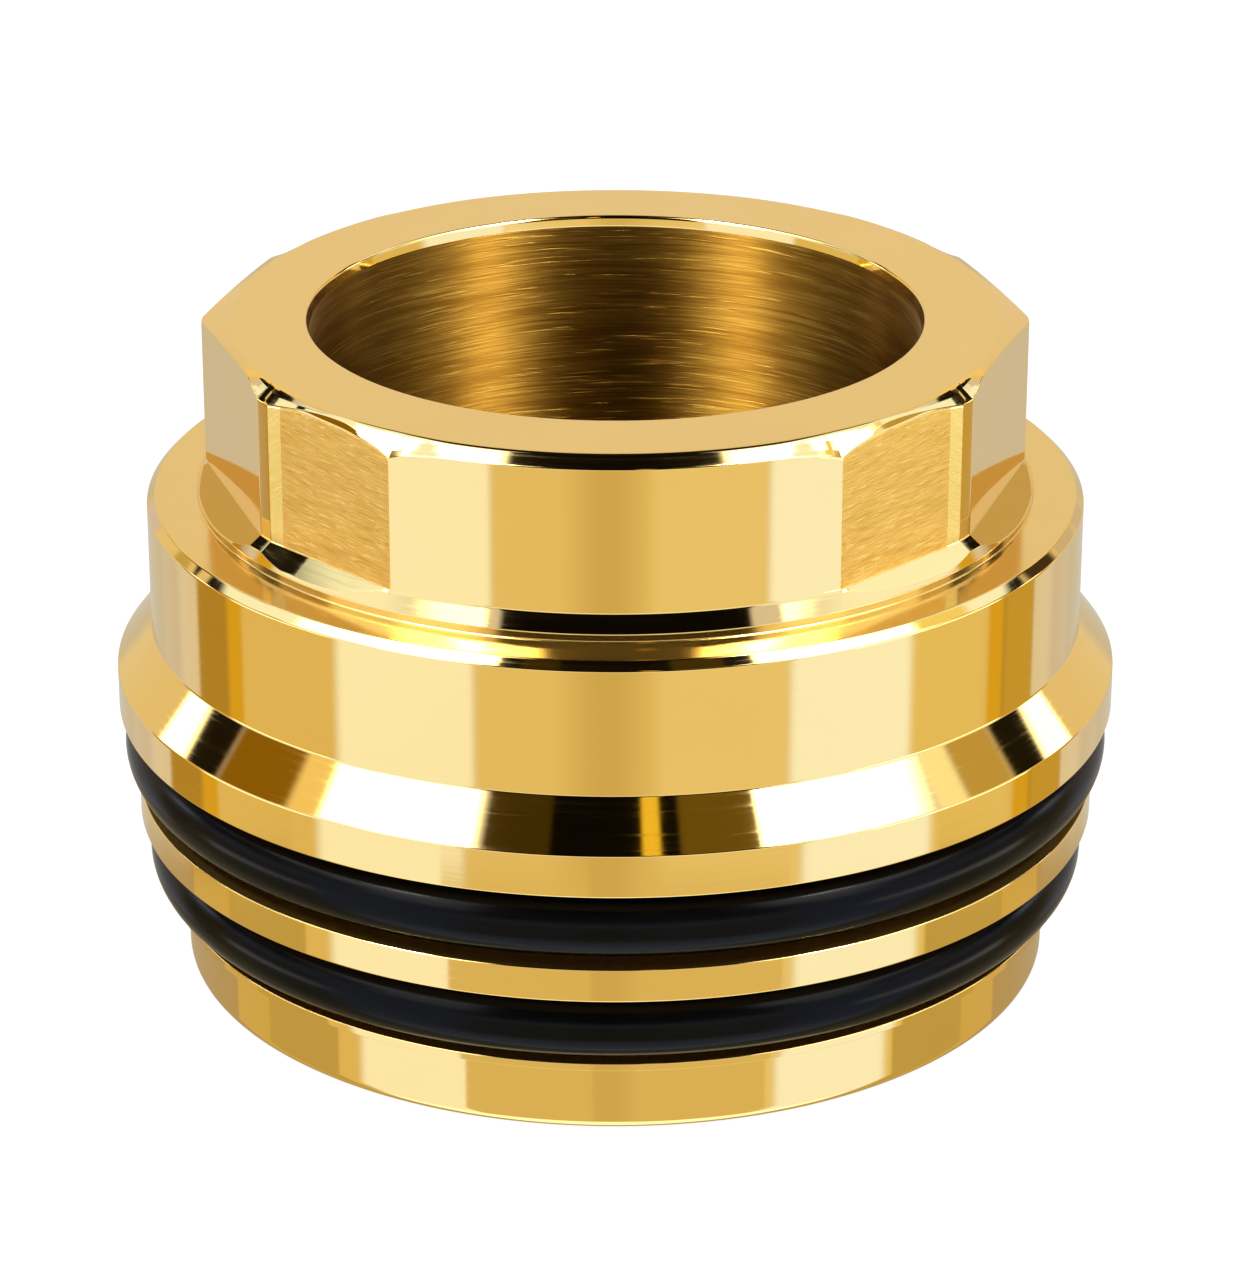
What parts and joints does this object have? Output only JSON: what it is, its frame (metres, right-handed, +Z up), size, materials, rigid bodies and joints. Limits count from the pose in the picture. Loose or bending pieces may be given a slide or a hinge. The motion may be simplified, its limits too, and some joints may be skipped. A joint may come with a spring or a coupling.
{
  "type": "diverter nut",
  "caption": "Turned brass diverter nut with a flatted round head, a stepped collar and a grooved spigot sealed by rubber O-rings.",
  "frame": {"origin": "centre of the flat base, on the turned axis", "axes": "+Z up the turned axis, from the base to the head's top face; +X towards the middle of one row of flats"},
  "size_m": [0.04, 0.04, 0.0269],
  "materials": {
    "polished_brass": "polished, with fine turning marks and brushed flats",
    "black_rubber": "smooth, lightly greased"
  },
  "bodies": {
    "root": {"nut_body": "polished_brass", "upper_o_ring": "black_rubber", "lower_o_ring": "black_rubber"}
  },
  "joints": []
}
